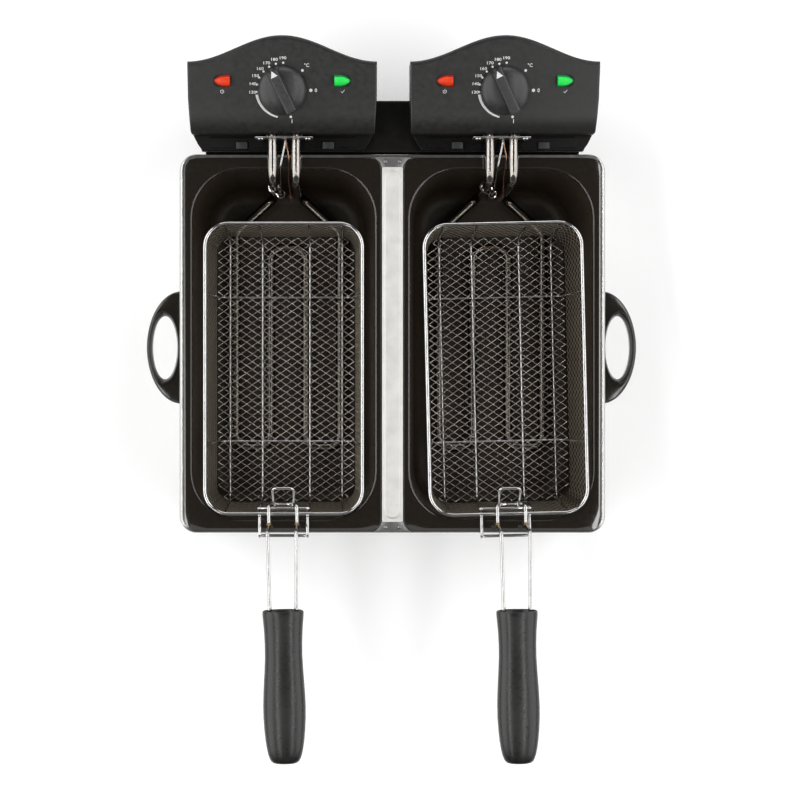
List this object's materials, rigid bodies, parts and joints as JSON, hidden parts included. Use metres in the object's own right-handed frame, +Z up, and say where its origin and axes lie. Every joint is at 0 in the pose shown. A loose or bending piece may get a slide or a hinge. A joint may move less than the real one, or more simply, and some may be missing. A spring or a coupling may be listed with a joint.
{
  "type": "deep fryer",
  "caption": "Twin-pan countertop deep fryer with lift-out enamelled pans, lift-off control heads with immersion elements, and wire baskets with fold-over handles.",
  "frame": {"origin": "on the table, under the middle of the whole object's bounding box, basket handles and control heads included", "axes": "+Z up; +Y from the basket grips at the front to the control heads at the back; +X to the right when facing the fryer from its handle side"},
  "size_m": [0.4496, 0.6387, 0.2026],
  "materials": {
    "housing_steel": "brushed",
    "dark_steel": "satin",
    "wire_chrome": "polished",
    "pan_enamel": "gloss enamel",
    "black_plastic": "satin",
    "knob_plastic": "satin",
    "grip_plastic": "matt",
    "foot_rubber": "matt",
    "element_steel": "satin",
    "capillary_copper": "drawn",
    "red_lens": "clear",
    "green_lens": "clear",
    "cream_plastic": "matt"
  },
  "bodies": {
    "housing": {"housing_shell": "housing_steel", "base_plate": "dark_steel", "pan_divider": "dark_steel", "bridge_plate": "housing_steel", "divider_rivet_1": "housing_steel", "divider_rivet_2": "housing_steel", "divider_rivet_3": "housing_steel", "divider_rivet_4": "housing_steel", "rear_housing": "black_plastic", "side_handle_left": "black_plastic", "side_handle_right": "black_plastic", "foot_front_left": "foot_rubber", "foot_front_right": "foot_rubber", "foot_rear_left": "foot_rubber", "foot_rear_right": "foot_rubber"},
    "left_pan": {"pan_left": "pan_enamel"},
    "left_control": {"control_cover_left": "black_plastic", "control_base_left": "black_plastic", "element_bracket_left": "dark_steel", "bracket_screw_outer_left": "housing_steel", "bracket_screw_inner_left": "housing_steel", "heating_element_left": "element_steel", "sensor_clip_left": "element_steel", "thermostat_bulb_left": "capillary_copper", "cutout_bulb_left": "element_steel", "thermostat_left": "cream_plastic", "safety_switch_left": "cream_plastic", "power_lens_left": "red_lens", "ready_lens_left": "green_lens", "cord_gland_left": "black_plastic"},
    "left_knob": {"knob_left": "knob_plastic"},
    "left_basket": {"basket_mesh_left": "wire_chrome", "basket_frame_left": "wire_chrome", "basket_hook_left": "wire_chrome", "handle_catch_left": "wire_chrome"},
    "left_handle": {"handle_wire_left": "wire_chrome", "handle_grip_left": "grip_plastic"},
    "right_pan": {"pan_right": "pan_enamel"},
    "right_control": {"control_cover_right": "black_plastic", "control_base_right": "black_plastic", "element_bracket_right": "dark_steel", "bracket_screw_outer_right": "housing_steel", "bracket_screw_inner_right": "housing_steel", "heating_element_right": "element_steel", "sensor_clip_right": "element_steel", "thermostat_bulb_right": "capillary_copper", "cutout_bulb_right": "element_steel", "thermostat_right": "cream_plastic", "safety_switch_right": "cream_plastic", "power_lens_right": "red_lens", "ready_lens_right": "green_lens", "cord_gland_right": "black_plastic"},
    "right_knob": {"knob_right": "knob_plastic"},
    "right_basket": {"basket_mesh_right": "wire_chrome", "basket_frame_right": "wire_chrome", "basket_hook_right": "wire_chrome", "handle_catch_right": "wire_chrome"},
    "right_handle": {"handle_wire_right": "wire_chrome", "handle_grip_right": "grip_plastic"}
  },
  "joints": [
    {"name": "left_pan_lift", "type": "slide", "parent": "housing", "child": "left_pan", "axis": [0, 0, 1], "range_m": [0, 0.16]},
    {"name": "left_control_lift", "type": "slide", "parent": "left_pan", "child": "left_control", "axis": [0, 0, 1], "range_m": [0, 0.13]},
    {"name": "left_basket_lift", "type": "slide", "parent": "left_control", "child": "left_basket", "axis": [0, 0, 1], "range_m": [0, 0.12]},
    {"name": "left_handle_fold", "type": "hinge", "parent": "left_basket", "child": "left_handle", "pos_m": [-0.0987, -0.09513, 0.1483], "axis": [-0.9999, -0.0157, 0], "range_deg": [0, 180]},
    {"name": "left_knob_turn", "type": "hinge", "parent": "left_control", "child": "left_knob", "pos_m": [-0.0982, 0.27237, 0.1814], "axis": [0, -0.2588, 0.9659], "range_deg": [-26, 244]},
    {"name": "right_pan_lift", "type": "slide", "parent": "housing", "child": "right_pan", "axis": [0, 0, 1], "range_m": [0, 0.16]},
    {"name": "right_control_lift", "type": "slide", "parent": "right_pan", "child": "right_control", "axis": [0, 0, 1], "range_m": [0, 0.13]},
    {"name": "right_basket_lift", "type": "slide", "parent": "right_control", "child": "right_basket", "axis": [0, 0, 1], "range_m": [0, 0.12]},
    {"name": "right_handle_fold", "type": "hinge", "parent": "right_basket", "child": "right_handle", "pos_m": [0.10648, -0.09505, 0.1483], "axis": [-0.9999, -0.0157, 0], "range_deg": [0, 180]},
    {"name": "right_knob_turn", "type": "hinge", "parent": "right_control", "child": "right_knob", "pos_m": [0.0982, 0.27237, 0.1814], "axis": [0, -0.2588, 0.9659], "range_deg": [-26, 244]}
  ]
}
